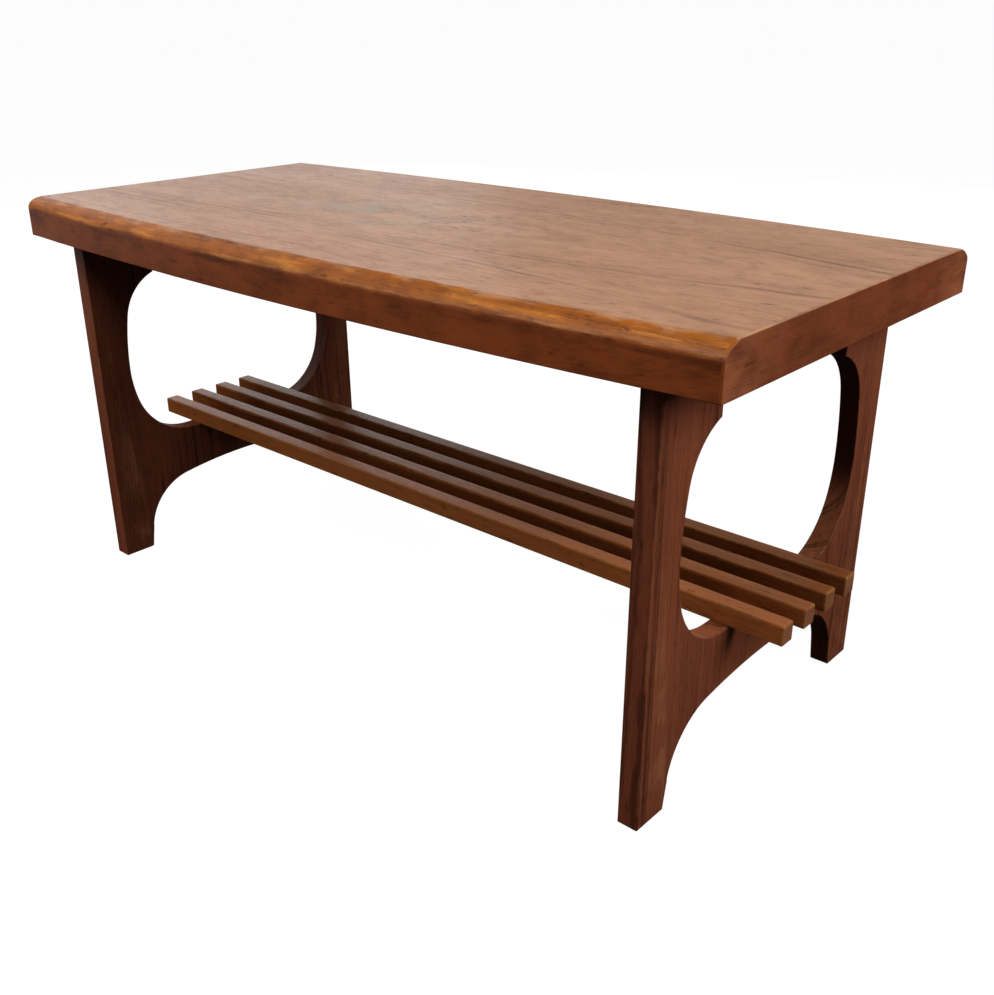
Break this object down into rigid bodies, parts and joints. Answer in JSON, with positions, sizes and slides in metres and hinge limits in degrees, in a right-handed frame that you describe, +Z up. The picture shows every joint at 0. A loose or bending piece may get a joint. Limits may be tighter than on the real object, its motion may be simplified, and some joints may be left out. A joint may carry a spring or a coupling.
{
  "type": "magazine table with rack",
  "caption": "Low oblong teak table with gently bowed, bevelled long edges, cut-out end panels with arched feet and a magazine rack of slats laid across the panels' rails.",
  "frame": {"origin": "on the floor, under the middle of the top", "axes": "+X along the table, +Y across it from the front to the rear, +Z up"},
  "size_m": [1, 0.4958, 0.478],
  "materials": {
    "teak_top_veneer": "satin oiled teak veneer, grain along the table",
    "teak_lipping": "satin oiled solid teak, worn on the bevel",
    "teak_end_band": "satin oiled solid teak, grain across the table",
    "teak_panel_veneer": "satin oiled teak veneer, grain upright",
    "panel_core": "satin stained hardwood, grain upright",
    "teak_slat": "satin oiled solid teak, grain along the slat",
    "board_core": "plain sanded board",
    "backing_veneer": "plain sanded veneer",
    "hidden_hardwood": "plain planed hardwood",
    "screw_steel": "plain bright steel"
  },
  "bodies": {
    "root": {"top_core": "board_core", "top_face_veneer": "teak_top_veneer", "top_backing_veneer": "backing_veneer", "front_lipping": "teak_lipping", "rear_lipping": "teak_lipping", "left_end_band": "teak_end_band", "right_end_band": "teak_end_band", "left_end_batten": "hidden_hardwood", "right_end_batten": "hidden_hardwood", "left_panel_core": "panel_core", "right_panel_core": "panel_core", "left_panel_inner_veneer": "teak_panel_veneer", "left_panel_outer_veneer": "teak_panel_veneer", "right_panel_inner_veneer": "teak_panel_veneer", "right_panel_outer_veneer": "teak_panel_veneer", "left_cleat": "hidden_hardwood", "right_cleat": "hidden_hardwood", "front_slat": "teak_slat", "inner_slat_1": "teak_slat", "inner_slat_2": "teak_slat", "rear_slat": "teak_slat", "slat_dowels": "hidden_hardwood", "cleat_screws": "screw_steel"}
  },
  "joints": []
}
